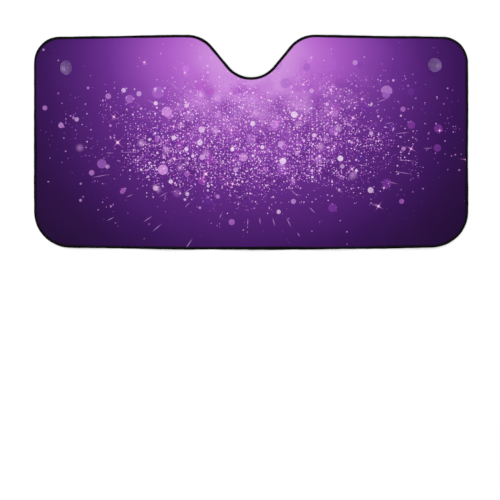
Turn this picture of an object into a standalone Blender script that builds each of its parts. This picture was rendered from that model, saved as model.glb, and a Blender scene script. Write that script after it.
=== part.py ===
"""Folding sunshade for a car windscreen, lying as it comes to rest with its print facing up.

A printed cloth, a foam core and a foil back are bound all round with one folded tape, and two
clear suction cups are buttoned through the sheet. +X runs along the width and +Y towards the
mirror notch. The origin is on the surface that the shade lies on, under the middle of the sheet.
"""

import math

import bmesh
import bpy
from mathutils import Matrix, Vector

MM = 0.001

# Outline, along the outside of the binding
WIDTH = 1400 * MM
HEIGHT = 692.9 * MM
BOTTOM_EDGE_RADIUS = 24000 * MM
LOWER_CORNER_RADIUS = 117 * MM
UPPER_CORNER_RADIUS = 83 * MM
TOP_EDGE_FALL = math.radians(0.93)

# Notch that clears the mirror
NOTCH_DEPTH = 137 * MM
NOTCH_BOTTOM_RADIUS = 94 * MM
NOTCH_SHOULDER_RADIUS = 105 * MM
NOTCH_FLANK_ANGLE = math.radians(51)

# Layers of the sheet, and the clearance between pieces
CLOTH_THICKNESS = 0.4 * MM
FOAM_THICKNESS = 2.4 * MM
FOIL_THICKNESS = 0.3 * MM
SEWN_FOAM_THICKNESS = 0.8 * MM
SEWN_SLOPE_WIDTH = 3.5 * MM
CLEARANCE = 0.3 * MM

# Binding tape, and the lap where its end is folded over its start
TAPE_THICKNESS = 0.6 * MM
TAPE_REACH = 7.6 * MM
LAP_LENGTH = 22 * MM
LAP_THICKNESS = 0.5 * MM
LAP_OVERHANG = 0.4 * MM
LAP_CENTRE_X = -35 * MM

# Fold lines of the stored shade, alternately raised and lying on the surface
FOLD_PITCH = 133.3 * MM
FOLDS_EACH_SIDE = 4
CREASE_WIDTH = 18 * MM

# Suction cups, their button heads under the sheet and their places
CUP_DIAMETER = 45 * MM
CUP_DEPTH = 11 * MM
CUP_LIP_WIDTH = 1.5 * MM
CUP_WALL = 2.6 * MM
NECK_DIAMETER = 6.4 * MM
NECK_FILLET = 1.2 * MM
HEAD_DIAMETER = 13 * MM
HEAD_HEIGHT = 3 * MM
HEAD_EDGE = 0.8 * MM
CUP_FROM_SIDE = 111.2 * MM
LEFT_CUP_FROM_TOP = 106.5 * MM
RIGHT_CUP_FROM_TOP = 99 * MM
LEFT_CUP_LEAN = math.radians(28)
RIGHT_CUP_LEAN = math.radians(10)
LEFT_CUP_LEAN_TOWARDS = math.radians(189)
RIGHT_CUP_LEAN_TOWARDS = math.radians(0)

# Fineness of the round stretches
ARC_STEP = math.radians(9)
BOTTOM_EDGE_STEPS = 6
TAPE_FOLD_STEPS = 4
CUP_CURVE_STEPS = 6
CUP_TURN_STEPS = 28

FULL_THICKNESS = "full_thickness"


def arc(centre, radius, start, end, steps=None):
    """Points on a circle from one angle to another, both ends included."""
    steps = steps or max(1, math.ceil(abs(end - start) / ARC_STEP))
    angles = [start + (end - start) * i / steps for i in range(steps + 1)]
    return [centre + radius * Vector((math.cos(a), math.sin(a))) for a in angles]


def right_half_outline():
    """The outline from the middle of the bottom edge round to the bottom of the notch."""
    up = math.pi / 2
    side_x = WIDTH / 2

    bottom_centre = Vector((0, BOTTOM_EDGE_RADIUS - HEIGHT / 2))
    reach = BOTTOM_EDGE_RADIUS - LOWER_CORNER_RADIUS
    lower_x = side_x - LOWER_CORNER_RADIUS
    bottom_turn = math.asin(lower_x / reach)
    lower_centre = Vector((lower_x, bottom_centre.y - reach * math.cos(bottom_turn)))

    round_height = (NOTCH_BOTTOM_RADIUS + NOTCH_SHOULDER_RADIUS) * (1 - math.cos(NOTCH_FLANK_ANGLE))
    flank_width = (NOTCH_DEPTH - round_height) / math.tan(NOTCH_FLANK_ANGLE)
    round_width = (NOTCH_BOTTOM_RADIUS + NOTCH_SHOULDER_RADIUS) * math.sin(NOTCH_FLANK_ANGLE)
    shoulder_centre = Vector((round_width + flank_width, HEIGHT / 2 - NOTCH_SHOULDER_RADIUS))
    notch_centre = Vector((0, HEIGHT / 2 - NOTCH_DEPTH + NOTCH_BOTTOM_RADIUS))

    top_normal = Vector((math.sin(TOP_EDGE_FALL), math.cos(TOP_EDGE_FALL)))
    inner_distance = top_normal.dot(shoulder_centre) + NOTCH_SHOULDER_RADIUS - UPPER_CORNER_RADIUS
    upper_x = side_x - UPPER_CORNER_RADIUS
    upper_centre = Vector((upper_x, (inner_distance - top_normal.x * upper_x) / top_normal.y))

    points = arc(bottom_centre, BOTTOM_EDGE_RADIUS, -up, bottom_turn - up, BOTTOM_EDGE_STEPS)
    points += arc(lower_centre, LOWER_CORNER_RADIUS, bottom_turn - up, 0)[1:]
    points += arc(upper_centre, UPPER_CORNER_RADIUS, 0, up - TOP_EDGE_FALL)
    points += arc(
        shoulder_centre, NOTCH_SHOULDER_RADIUS, up - TOP_EDGE_FALL, up + NOTCH_FLANK_ANGLE
    )
    points += arc(notch_centre, NOTCH_BOTTOM_RADIUS, NOTCH_FLANK_ANGLE - up, -up)
    return points


def outline():
    """The whole outline, counterclockwise seen from above."""
    half = right_half_outline()
    return half + [Vector((-p.x, p.y)) for p in reversed(half[1:-1])]


def sewn_stack(layer):
    """Distance from the middle of the sheet to the inside of the tape, over one of its sides."""
    return SEWN_FOAM_THICKNESS / 2 + CLEARANCE + layer + CLEARANCE


def sheet_stack(layer):
    """Distance from the middle of the sheet to the outside of its cloth or of its foil."""
    return FOAM_THICKNESS / 2 + CLEARANCE + layer


def middle_height():
    """Height of the middle of the sheet where a fold line lies on the surface."""
    return max(sewn_stack(FOIL_THICKNESS) + TAPE_THICKNESS, sheet_stack(FOIL_THICKNESS))


def crease_profile(rise):
    """Half of the section across the fold lines: points (x, height), from the middle outwards."""
    half_crease = CREASE_WIDTH / 2
    easing = half_crease * rise / (FOLD_PITCH - half_crease) / 2
    points = []
    for fold in range(FOLDS_EACH_SIDE + 1):
        x = fold * FOLD_PITCH
        raised = (FOLDS_EACH_SIDE - fold) % 2 == 0
        crest = rise if raised else 0
        beside = rise - easing if raised else easing
        if fold > 0:
            points.append((x - half_crease, beside))
        points.append((x, crest))
        points.append((x + half_crease, beside))
    points.append((WIDTH / 2, 0))
    return points


def height_in(profile, x):
    """Height of a crease profile at x, straight between its points."""
    x = min(abs(x), profile[-1][0])
    for (x0, z0), (x1, z1) in zip(profile, profile[1:]):
        if x <= x1:
            return z0 + (z1 - z0) * (x - x0) / (x1 - x0)
    return profile[-1][1]


def fold_rise():
    """Rise of the raised folds: the button heads under the end panels prop the sheet up."""
    wanted = HEAD_HEIGHT + 3 * CLEARANCE + sheet_stack(FOIL_THICKNESS) - middle_height()
    return wanted / height_in(crease_profile(1), WIDTH / 2 - CUP_FROM_SIDE)


def sheet_height(x):
    """Height of the middle of the sheet above the surface that it lies on."""
    return middle_height() + height_in(crease_profile(fold_rise()), x)


def panel_tilt(x):
    """Angle about Y that turns +Z to the normal of the panel at x."""
    step = 1 * MM
    return math.atan((sheet_height(x - step) - sheet_height(x + step)) / (2 * step))


def crease_lines():
    """Every x at which the section across the fold lines bends, on both sides."""
    rights = [x for x, _ in crease_profile(1)[:-1]]
    return sorted({-x for x in rights} | set(rights))


def cut_at_creases(bm):
    """Divides a flat sheet along the lines where it will bend."""
    for x in crease_lines():
        everything = bm.verts[:] + bm.edges[:] + bm.faces[:]
        bmesh.ops.bisect_plane(
            bm, geom=everything, dist=1e-6, plane_co=(x, 0, 0), plane_no=(1, 0, 0)
        )


def flat_face(bm):
    """The outline as one flat face that points up."""
    face = bm.faces.new([bm.verts.new((p.x, p.y, 0)) for p in outline()])
    face.normal_update()
    return face


def inset(bm, face, distance):
    """Moves the border of a face inwards, and leaves a band of faces around it."""
    bmesh.ops.inset_individual(bm, faces=[face], thickness=distance, use_even_offset=True)


def new_object(name, mesh, collection):
    obj = bpy.data.objects.new(name, mesh)
    collection.objects.link(obj)
    return obj


def mesh_from(bm, name):
    mesh = bpy.data.meshes.new(name)
    bm.to_mesh(mesh)
    bm.free()
    return mesh


def sheet_layer(name, collection, side):
    """One open layer of the sheet, whose weights tell the full sheet from its sewn edge."""
    bm = bmesh.new()
    weights = bm.verts.layers.deform.verify()
    fold_radius = (sewn_stack(CLOTH_THICKNESS) + sewn_stack(FOIL_THICKNESS)) / 2
    edge_inset = TAPE_THICKNESS + fold_radius + CLEARANCE
    middle = flat_face(bm)
    inset(bm, middle, edge_inset)
    outside = set(bm.verts) - set(middle.verts)
    bmesh.ops.delete(bm, geom=list(outside), context="VERTS")
    inset(bm, middle, TAPE_REACH - edge_inset)
    inset(bm, middle, SEWN_SLOPE_WIDTH)
    for vert in bm.verts:
        vert[weights][0] = 0.0
    for vert in middle.verts:
        vert[weights][0] = 1.0
    cut_at_creases(bm)
    for vert in bm.verts:
        full = vert[weights].get(0, 0.0)
        half_foam = (SEWN_FOAM_THICKNESS + full * (FOAM_THICKNESS - SEWN_FOAM_THICKNESS)) / 2
        vert.co.z = sheet_height(vert.co.x) + side * (half_foam + CLEARANCE)
    obj = new_object(name, mesh_from(bm, name), collection)
    obj.vertex_groups.new(name=FULL_THICKNESS)
    return obj


def add_solidify(obj, thickness, offset):
    solidify = obj.modifiers.new("Thickness", "SOLIDIFY")
    solidify.thickness = thickness
    solidify.offset = offset
    solidify.use_even_offset = True
    return solidify


def add_boolean(obj, other, operation):
    boolean = obj.modifiers.new(other.name, "BOOLEAN")
    boolean.operation = operation
    boolean.object = other
    boolean.solver = "EXACT"


def border_loop():
    """The outline with a point wherever a crease line crosses it."""
    bm = bmesh.new()
    flat_face(bm)
    cut_at_creases(bm)
    start = next(v for v in bm.verts if v.is_boundary)
    loop = [start]
    edge = next(e for e in start.link_edges if e.is_boundary)
    while True:
        following = edge.other_vert(loop[-1])
        if following is start:
            break
        loop.append(following)
        edge = next(e for e in following.link_edges if e.is_boundary and e is not edge)
    points = [v.co.to_2d() for v in loop]
    bm.free()
    area = sum(a.x * b.y - b.x * a.y for a, b in zip(points, points[1:] + points[:1]))
    return points if area > 0 else points[::-1]


def tape_section(outside, thickness, reach):
    """Closed section of the folded tape: points (distance in from the edge, height)."""
    top = sewn_stack(CLOTH_THICKNESS) + TAPE_THICKNESS
    bottom = sewn_stack(FOIL_THICKNESS) + TAPE_THICKNESS
    radius = (top + bottom) / 2
    fold = Vector((radius, (top - bottom) / 2))
    up = math.pi / 2
    outer = radius + outside
    inner = outer - thickness
    points = [Vector((reach, fold.y + outer))]
    points += arc(fold, outer, up, 3 * up, TAPE_FOLD_STEPS)
    points += [Vector((reach, fold.y - outer)), Vector((reach, fold.y - inner))]
    points += arc(fold, inner, 3 * up, up, TAPE_FOLD_STEPS)
    points.append(Vector((reach, fold.y + inner)))
    return points


def sweep(name, collection, path, section, closed):
    """A solid that carries a closed section along a path, square to the path's edge."""
    count = len(path)
    bm = bmesh.new()
    rows = []
    for i, point in enumerate(path):
        before = path[i - 1] if closed or i else 2 * point - path[1]
        after = path[(i + 1) % count] if closed or i < count - 1 else 2 * point - path[i - 1]
        first = (point - before).normalized()
        second = (after - point).normalized()
        inwards = Vector((-first.y - second.y, first.x + second.x)).normalized()
        inwards /= inwards.dot(Vector((-second.y, second.x)))
        row = []
        for distance, height in section:
            place = point + distance * inwards
            row.append(bm.verts.new((place.x, place.y, sheet_height(place.x) + height)))
        rows.append(row)
    for row, following in zip(rows, rows[1:] + rows[:1] if closed else rows[1:]):
        for i, vert in enumerate(row):
            bm.faces.new((row[i - 1], vert, following[i], following[i - 1]))
    if not closed:
        bm.faces.new(reversed(rows[0]))
        bm.faces.new(rows[-1])
    return new_object(name, mesh_from(bm, name), collection)


def lap_path():
    """The short stretch of the bottom edge where the tape's end laps over its start."""
    centre_y = BOTTOM_EDGE_RADIUS - HEIGHT / 2
    xs = [LAP_CENTRE_X + LAP_LENGTH * share for share in (-0.5, 0, 0.5)]
    return [Vector((x, centre_y - math.sqrt(BOTTOM_EDGE_RADIUS**2 - x**2))) for x in xs]


def make_edge_binding(collection, helpers):
    section = tape_section(0, TAPE_THICKNESS, TAPE_REACH)
    binding = sweep("edge_binding", collection, border_loop(), section, True)
    section = tape_section(
        LAP_THICKNESS, LAP_THICKNESS + TAPE_THICKNESS / 2, TAPE_REACH + LAP_OVERHANG
    )
    lap = sweep("tape_lap", helpers, lap_path(), section, False)
    add_boolean(binding, lap, "UNION")
    return binding


def bowl_radius(reach, depth):
    """Radius of the sphere whose cap has this radius and this depth."""
    return (reach**2 + depth**2) / (2 * depth)


def cap_height(radius, distance):
    return radius - math.sqrt(radius**2 - distance**2)


def neck_length():
    """Free neck above the cloth: the back of the cup that leans most just clears the cloth."""
    lean = max(LEFT_CUP_LEAN, RIGHT_CUP_LEAN)
    hub = 2 * CLEARANCE + bowl_radius(CUP_DIAMETER / 2, CUP_DEPTH) * (1 - math.cos(lean))
    return hub * lean / math.sin(lean)


def cup_section():
    """Half section of the straight cup, measured from the middle of the sheet."""
    neck = NECK_DIAMETER / 2
    outer = CUP_DIAMETER / 2
    inner = outer - CUP_LIP_WIDTH
    hub = sheet_stack(CLOTH_THICKNESS) + neck_length()
    lip = hub + CUP_DEPTH
    floor = hub + CUP_WALL
    back = bowl_radius(outer, CUP_DEPTH)
    hollow = bowl_radius(inner, CUP_DEPTH - CUP_WALL)
    seat = -(sheet_stack(FOIL_THICKNESS) + CLEARANCE)
    shares = [i / CUP_CURVE_STEPS for i in range(CUP_CURVE_STEPS + 1)]

    points = [(inner * s, floor + cap_height(hollow, inner * s)) for s in shares[:-1]]
    points.append((inner, lip))
    skirt = neck + NECK_FILLET
    points += [
        (outer + (skirt - outer) * s, hub + cap_height(back, outer + (skirt - outer) * s))
        for s in shares
    ]
    bend_start = sheet_stack(CLOTH_THICKNESS)
    bend_end = hub - NECK_FILLET
    points += [(neck, bend_end + (bend_start - bend_end) * i / 3) for i in range(4)]
    points.append((neck, seat))
    head = HEAD_DIAMETER / 2
    points.append((head, seat))
    dome = HEAD_HEIGHT - HEAD_EDGE
    for i in range(4):
        angle = math.pi / 2 * i / 4
        points.append((head * math.cos(angle), seat - HEAD_EDGE - dome * math.sin(angle)))
    points.append((0, seat - HEAD_HEIGHT))
    return points


def lean_over(mesh, lean, towards):
    """Bends the neck above the cloth, so that the cup leans and its head stays put."""
    start = sheet_stack(CLOTH_THICKNESS)
    length = neck_length()
    radius = length / lean
    for vert in mesh.vertices:
        along = min(max(vert.co.z - start, 0), length)
        turned = lean * along / length
        axis = Vector((radius * (1 - math.cos(turned)), 0, start + radius * math.sin(turned)))
        beyond = Vector((vert.co.x, vert.co.y, vert.co.z - start - along))
        vert.co = axis + Matrix.Rotation(turned, 3, "Y") @ beyond
    mesh.transform(Matrix.Rotation(towards, 4, "Z"))


def turned_mesh(name, section):
    """A closed mesh turned from a half section about Z."""
    profile = bpy.data.meshes.new(name)
    edges = [(i, i + 1) for i in range(len(section) - 1)]
    profile.from_pydata([(r, 0, z) for r, z in section], edges, [])
    helper = new_object(name, profile, bpy.context.scene.collection)
    screw = helper.modifiers.new("Turn", "SCREW")
    screw.steps = CUP_TURN_STEPS
    screw.render_steps = CUP_TURN_STEPS
    screw.use_merge_vertices = True
    screw.merge_threshold = 0.01 * MM
    depsgraph = bpy.context.evaluated_depsgraph_get()
    mesh = bpy.data.meshes.new_from_object(helper.evaluated_get(depsgraph))
    mesh.name = name
    bpy.data.objects.remove(helper)
    bpy.data.meshes.remove(profile)
    return mesh


def place_on_panel(obj, side, from_top):
    """Seats an object in the sheet, square to the end panel that carries it."""
    x = side * (WIDTH / 2 - CUP_FROM_SIDE)
    obj.location = (x, HEIGHT / 2 - from_top, sheet_height(x))
    obj.rotation_euler = (0, panel_tilt(x), 0)


def make_suction_cup(name, collection, side, from_top, lean, towards):
    mesh = turned_mesh(name, cup_section())
    lean_over(mesh, lean, towards)
    mesh.shade_smooth()
    mesh.set_sharp_from_angle(angle=math.radians(40))
    cup = new_object(name, mesh, collection)
    place_on_panel(cup, side, from_top)
    return cup


def make_neck_hole(name, helpers, side, from_top):
    bm = bmesh.new()
    radius = NECK_DIAMETER / 2 + CLEARANCE
    depth = 4 * FOAM_THICKNESS
    bmesh.ops.create_cone(
        bm, cap_ends=True, segments=CUP_TURN_STEPS, radius1=radius, radius2=radius, depth=depth
    )
    cutter = new_object(name, mesh_from(bm, name), helpers)
    place_on_panel(cutter, side, from_top)
    return cutter


def make_printed_face(collection, cutters):
    face = sheet_layer("printed_face", collection, 1)
    add_solidify(face, CLOTH_THICKNESS, 1)
    for cutter in cutters:
        add_boolean(face, cutter, "DIFFERENCE")
    return face


def make_foam_core(collection, cutters):
    core = sheet_layer("foam_core", collection, 0)
    solidify = add_solidify(core, FOAM_THICKNESS, 0)
    solidify.vertex_group = FULL_THICKNESS
    solidify.thickness_vertex_group = SEWN_FOAM_THICKNESS / FOAM_THICKNESS
    for cutter in cutters:
        add_boolean(core, cutter, "DIFFERENCE")
    return core


def make_foil_back(collection, cutters):
    back = sheet_layer("foil_back", collection, -1)
    add_solidify(back, FOIL_THICKNESS, -1)
    for cutter in cutters:
        add_boolean(back, cutter, "DIFFERENCE")
    return back


def make_material(name, colour, roughness, metallic=0.0, transmission=0.0):
    material = bpy.data.materials.new(name)
    material.use_nodes = True
    shader = material.node_tree.nodes["Principled BSDF"]
    shader.inputs["Base Color"].default_value = (*colour, 1)
    shader.inputs["Roughness"].default_value = roughness
    shader.inputs["Metallic"].default_value = metallic
    shader.inputs["Transmission Weight"].default_value = transmission
    return material


def new_collection(name):
    collection = bpy.data.collections.new(name)
    bpy.context.scene.collection.children.link(collection)
    return collection


def main():
    for obj in list(bpy.data.objects):
        bpy.data.objects.remove(obj)
    parts = new_collection("car_sunshade")
    helpers = new_collection("cutters")

    cutters = [
        make_neck_hole("left_neck_hole", helpers, -1, LEFT_CUP_FROM_TOP),
        make_neck_hole("right_neck_hole", helpers, 1, RIGHT_CUP_FROM_TOP),
    ]
    printed_face = make_printed_face(parts, cutters)
    foam_core = make_foam_core(parts, cutters)
    foil_back = make_foil_back(parts, cutters)
    edge_binding = make_edge_binding(parts, helpers)
    left_lean = (LEFT_CUP_LEAN, LEFT_CUP_LEAN_TOWARDS)
    right_lean = (RIGHT_CUP_LEAN, RIGHT_CUP_LEAN_TOWARDS)
    cups = [
        make_suction_cup("suction_cup_left", parts, -1, LEFT_CUP_FROM_TOP, *left_lean),
        make_suction_cup("suction_cup_right", parts, 1, RIGHT_CUP_FROM_TOP, *right_lean),
    ]
    for helper in helpers.objects:
        helper.hide_render = True
        helper.display_type = "WIRE"

    printed_cloth = make_material("printed_cloth", (0.16, 0.02, 0.30), 0.6)
    white_foam = make_material("white_foam", (0.85, 0.85, 0.85), 0.8)
    silver_foil = make_material("silver_foil", (0.80, 0.81, 0.83), 0.3, metallic=1.0)
    black_tape = make_material("black_tape", (0.01, 0.01, 0.01), 0.8)
    clear_vinyl = make_material("clear_vinyl", (0.95, 0.95, 0.97), 0.1, transmission=0.9)
    printed_face.data.materials.append(printed_cloth)
    foam_core.data.materials.append(white_foam)
    foil_back.data.materials.append(silver_foil)
    edge_binding.data.materials.append(black_tape)
    for cup in cups:
        cup.data.materials.append(clear_vinyl)


main()
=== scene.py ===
import math

import bpy
import numpy as np
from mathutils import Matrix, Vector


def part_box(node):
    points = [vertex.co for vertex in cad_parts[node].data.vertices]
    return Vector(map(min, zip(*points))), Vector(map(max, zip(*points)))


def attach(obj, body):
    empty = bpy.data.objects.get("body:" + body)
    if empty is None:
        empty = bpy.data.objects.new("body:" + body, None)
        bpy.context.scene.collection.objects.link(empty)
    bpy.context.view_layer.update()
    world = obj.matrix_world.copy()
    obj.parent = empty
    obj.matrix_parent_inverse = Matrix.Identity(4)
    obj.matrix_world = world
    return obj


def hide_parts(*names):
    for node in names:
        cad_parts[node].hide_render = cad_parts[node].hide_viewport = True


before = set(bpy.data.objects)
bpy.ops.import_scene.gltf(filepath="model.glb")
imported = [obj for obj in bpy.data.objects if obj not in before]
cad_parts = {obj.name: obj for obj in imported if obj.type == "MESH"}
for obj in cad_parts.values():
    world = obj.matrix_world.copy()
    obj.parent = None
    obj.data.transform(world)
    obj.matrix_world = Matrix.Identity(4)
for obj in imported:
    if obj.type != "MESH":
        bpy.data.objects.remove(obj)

mm = 0.001
scene = bpy.context.scene
body = "root"  # nothing on the shade moves, so every piece rides on the one body
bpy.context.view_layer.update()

# sizes of the whole sheet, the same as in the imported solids
shade = {
    "width": 1400 * mm,
    "height": 692.9 * mm,
    "bottomEdgeRadius": 24000 * mm,
    "lowerCorner": 117 * mm,
    "upperCorner": 83 * mm,
    "topEdgeFall": math.radians(0.93),
    "notchDepth": 137 * mm,
    "notchBottom": 94 * mm,
    "notchShoulder": 105 * mm,
    "notchFlank": math.radians(51),
    "arcStep": math.radians(0.5),  # between points on the round corners
    "foam": 2.4 * mm,
    "sewnFoam": 0.8 * mm,
    "sewnSlope": 3.5 * mm,
    "cloth": 0.4 * mm,
    "foil": 0.3 * mm,
    "gap": 0.3 * mm,
    "foldPitch": 133.3 * mm,
    "foldsEachSide": 4,
    "creaseWidth": 18 * mm,
    "tapeReach": 7.6 * mm,
    "tape": 0.6 * mm,
}

foamLow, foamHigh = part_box("foam_core")
foldRise = foamHigh[2] - foamLow[2] - shade["foam"]
middleHeight = foamLow[2] + shade["foam"] / 2  # of the sheet, where a fold line lies on the floor


# outline of the sheet

def arcPoints(centre, radius, start, end):
    # circle: centre plus radius times the cosine and sine of evenly spaced angles
    angles = np.linspace(start, end, 2 + int(abs(end - start) / shade["arcStep"]))
    return np.array(centre) + radius * np.stack([np.cos(angles), np.sin(angles)], axis=1)


def outlineLoop():
    # closed outline from its round corners, with the distance along it and its inward direction
    up = math.pi / 2
    side, top = shade["width"] / 2, shade["height"] / 2
    bow, lower, upper = (shade[key] for key in ("bottomEdgeRadius", "lowerCorner", "upperCorner"))
    bottom, rounding, flank = (shade[key] for key in ("notchBottom", "notchShoulder", "notchFlank"))
    turn = math.asin((side - lower) / (bow - lower))
    bottomY = bow - top
    lowerCentre = (side - lower, bottomY - (bow - lower) * math.cos(turn))
    flankWidth = (shade["notchDepth"] - (bottom + rounding) * (1 - math.cos(flank))) / math.tan(flank)
    shoulder = ((bottom + rounding) * math.sin(flank) + flankWidth, top - rounding)
    notch = (0, top - shade["notchDepth"] + bottom)
    fall = shade["topEdgeFall"]
    lean = math.sin(fall) * (shoulder[0] - side + upper) + math.cos(fall) * shoulder[1]
    upperCentre = (side - upper, (lean + rounding - upper) / math.cos(fall))
    half = np.concatenate([
        arcPoints((0, bottomY), bow, -up, turn - up),
        arcPoints(lowerCentre, lower, turn - up, 0)[1:],
        arcPoints(upperCentre, upper, 0, up - fall),
        arcPoints(shoulder, rounding, up - fall, up + flank),
        arcPoints(notch, bottom, flank - up, -up)[1:],
    ])
    points = np.concatenate([half, half[-2:0:-1] * (-1, 1)])
    steps = np.roll(points, -1, axis=0) - points
    lengths = np.hypot(*steps.T)
    along = steps / lengths[:, None]
    tangent = along + np.roll(along, 1, axis=0)
    tangent /= np.hypot(*tangent.T)[:, None]
    inward = np.stack([-tangent[:, 1], tangent[:, 0]], axis=1)
    points, inward = (np.concatenate([rows, rows[:1]]) for rows in (points, inward))
    distance = np.concatenate([[0], np.cumsum(lengths)])
    return {"points": points, "inward": inward, "distance": distance}


outline = outlineLoop()
loopLength = float(outline["distance"][-1])


def alongOutline(distance, inset=0.0):
    # places at these distances round the outline, moved in by inset along its inward direction
    distance = np.mod(distance, loopLength)
    x, y = (np.interp(distance, outline["distance"], outline["points"][:, i]) for i in (0, 1))
    u, v = (np.interp(distance, outline["distance"], outline["inward"][:, i]) for i in (0, 1))
    size = np.hypot(u, v)
    return np.stack([x + inset * u / size, y + inset * v / size], axis=-1)


def placeAndInward(distance):
    # places on the outline, and the unit step inwards from each
    place = alongOutline(distance)
    return place, alongOutline(distance, 1.0) - place


def sheetHeight(x):
    # middle of the sheet: straight panels between raised and lying folds, each crest a parabola
    half = shade["creaseWidth"] / 2
    easing = half * foldRise / (shade["foldPitch"] - half) / 2
    xs, zs = [], []
    for fold in range(shade["foldsEachSide"] + 1):
        centre = fold * shade["foldPitch"]
        raised = (shade["foldsEachSide"] - fold) % 2 == 0
        beside = foldRise - easing if raised else easing
        if fold:
            xs.append(centre - half)
            zs.append(beside)
        xs += [centre, centre + half]
        zs += [foldRise if raised else 0, beside]
    distance = np.abs(x)
    flat = np.interp(distance, xs + [shade["width"] / 2], zs + [0])
    fold = np.clip(np.round(distance / shade["foldPitch"]), 0, shade["foldsEachSide"])
    across = np.clip(np.abs(distance - fold * shade["foldPitch"]) / half, 0, 1)
    crest = np.where((shade["foldsEachSide"] - fold) % 2 == 0, 1, -1)
    return middleHeight + flat + crest * easing * (across - across**2)


def halfFoam(inset):
    # half the foam's thickness: thin under the tape, full past the slope beside it
    share = np.clip((inset - shade["tapeReach"]) / shade["sewnSlope"], 0, 1)
    share = share * share * (3 - 2 * share)
    return (shade["sewnFoam"] + share * (shade["foam"] - shade["sewnFoam"])) / 2


def waves(s, seed, shortest, longest, count):
    # sum of sines round the outline, of random phase, each fitting the loop a whole number of times
    dice = np.random.default_rng(seed)
    total = np.zeros_like(s)
    for wavelength in dice.uniform(shortest, longest, count):
        turns = round(loopLength / wavelength)
        total += np.sin(2 * math.pi * turns * s / loopLength + dice.uniform(0, 2 * math.pi))
    return total / math.sqrt(count)


# meshes

def meshObject(name, points, faces, material):
    # points and faces as one smooth mesh at the origin, riding on the shade
    mesh = bpy.data.meshes.new(name)
    mesh.from_pydata(points.reshape(-1, 3).tolist(), [], faces)
    mesh.update()
    mesh.shade_smooth()
    obj = bpy.data.objects.new(name, mesh)
    scene.collection.objects.link(obj)
    mesh.materials.append(material)
    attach(obj, body)
    return obj


def gridQuads(rows, columns, closeRows=False, closeColumns=False):
    # corner numbers of the quads of a grid of points, which may close on itself either way
    i, j = np.meshgrid(np.arange(rows - (not closeRows)), np.arange(columns - (not closeColumns)),
                       indexing="ij")
    nextI, nextJ = (i + 1) % rows, (j + 1) % columns
    corners = [(i, j), (nextI, j), (nextI, nextJ), (i, nextJ)]
    return np.stack([row * columns + column for row, column in corners], axis=-1).reshape(-1, 4)


def closedTube(rings, sides):
    # quads of a tube, and triangles from its first and last ring to the two points that close it
    quads = gridQuads(rings, sides, closeColumns=True)
    j = np.arange(sides)
    nextJ = (j + 1) % sides
    lastRing = (rings - 1) * sides
    start = np.column_stack([np.full(sides, rings * sides), j, nextJ])
    end = np.column_stack([np.full(sides, rings * sides + 1), lastRing + nextJ, lastRing + j])
    return quads, np.concatenate([start, end])


def setUv(obj, uvOfVertex):
    # each face corner takes the place of its vertex on the flat material
    layer = obj.data.uv_layers.new(name="surface")
    corner = np.empty(len(obj.data.loops), dtype=np.int32)
    obj.data.loops.foreach_get("vertex_index", corner)
    layer.data.foreach_set("uv", uvOfVertex[corner].astype(np.float32).ravel())


def addThickness(obj, thickness):
    # the mesh is the inner face, and the thickness grows outwards from it
    solidify = obj.modifiers.new("Thickness", "SOLIDIFY")
    solidify.thickness = thickness
    solidify.offset = 1
    obj.modifiers.new("Even shading", "WEIGHTED_NORMAL")  # the thin walls of holes don't bend the shading


# suction cups: their sizes come first, because the skins are punched for their necks

cup = {
    "diameter": 45 * mm,
    "depth": 11 * mm,
    "lip": 1.5 * mm,
    "lipRound": 0.35 * mm,
    "wall": 2.6 * mm,
    "neck": 6.4 * mm,
    "fillet": 1.2 * mm,
    "dishDrop": 0.02 * mm,  # keeps the scene's dish just clear of its own solid
    "head": 13 * mm,
    "headHeight": 3 * mm,
    "headEdge": 0.8 * mm,
    "seatRound": 0.3 * mm,
    "fromSide": 111.2 * mm,
    "fromTop": {"left": 106.5 * mm, "right": 99 * mm},
    "lean": {"left": math.radians(28), "right": math.radians(10)},
    "leanDirection": {"left": math.radians(189), "right": 0.0},
    "around": 96,
    "steps": {"hollow": 26, "lip": 5, "dish": 24, "fillet": 6, "neck": 9, "headEdge": 7, "dome": 10},
}


# the two skins of the sheet

skin = {
    "columns": 300,
    "rows": 130,
    "edgeInset": 2.3 * mm,
    "bands": [4.0, 5.5, 6.8, 8.0, 9.2, 10.4, 11.6, 13.2, 15.0],  # rings of vertices, millimetres in
    "ripple": 0.22 * mm,  # gathers beside the stitching
    "rippleReach": 14 * mm,
    "rippleWaves": (22 * mm, 60 * mm, 7),  # shortest, longest, how many
    "rippleStart": 1 * mm,
    "dent": 0.35 * mm,
    "dentCount": 26,
    "dentSide": 0.62,
    "dentHeights": (-0.3, 0.25),
    "dentLean": 0.35,
    "dentWidths": (6 * mm, 16 * mm),
    "dentLengths": (30 * mm, 120 * mm),
    "dentShares": (0.3, 1),
    "searchStep": 8 * mm,
    "searchBlock": 4000,  # places worked out together, to save memory
    "punchMargin": 2 * mm,
    "cutPoints": 1600,
}


def nearestDistance(place):
    # distance along the outline of its point nearest to a place
    offsets = outline["points"] - place
    return outline["distance"][np.argmin(np.hypot(*offsets.T))]


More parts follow.
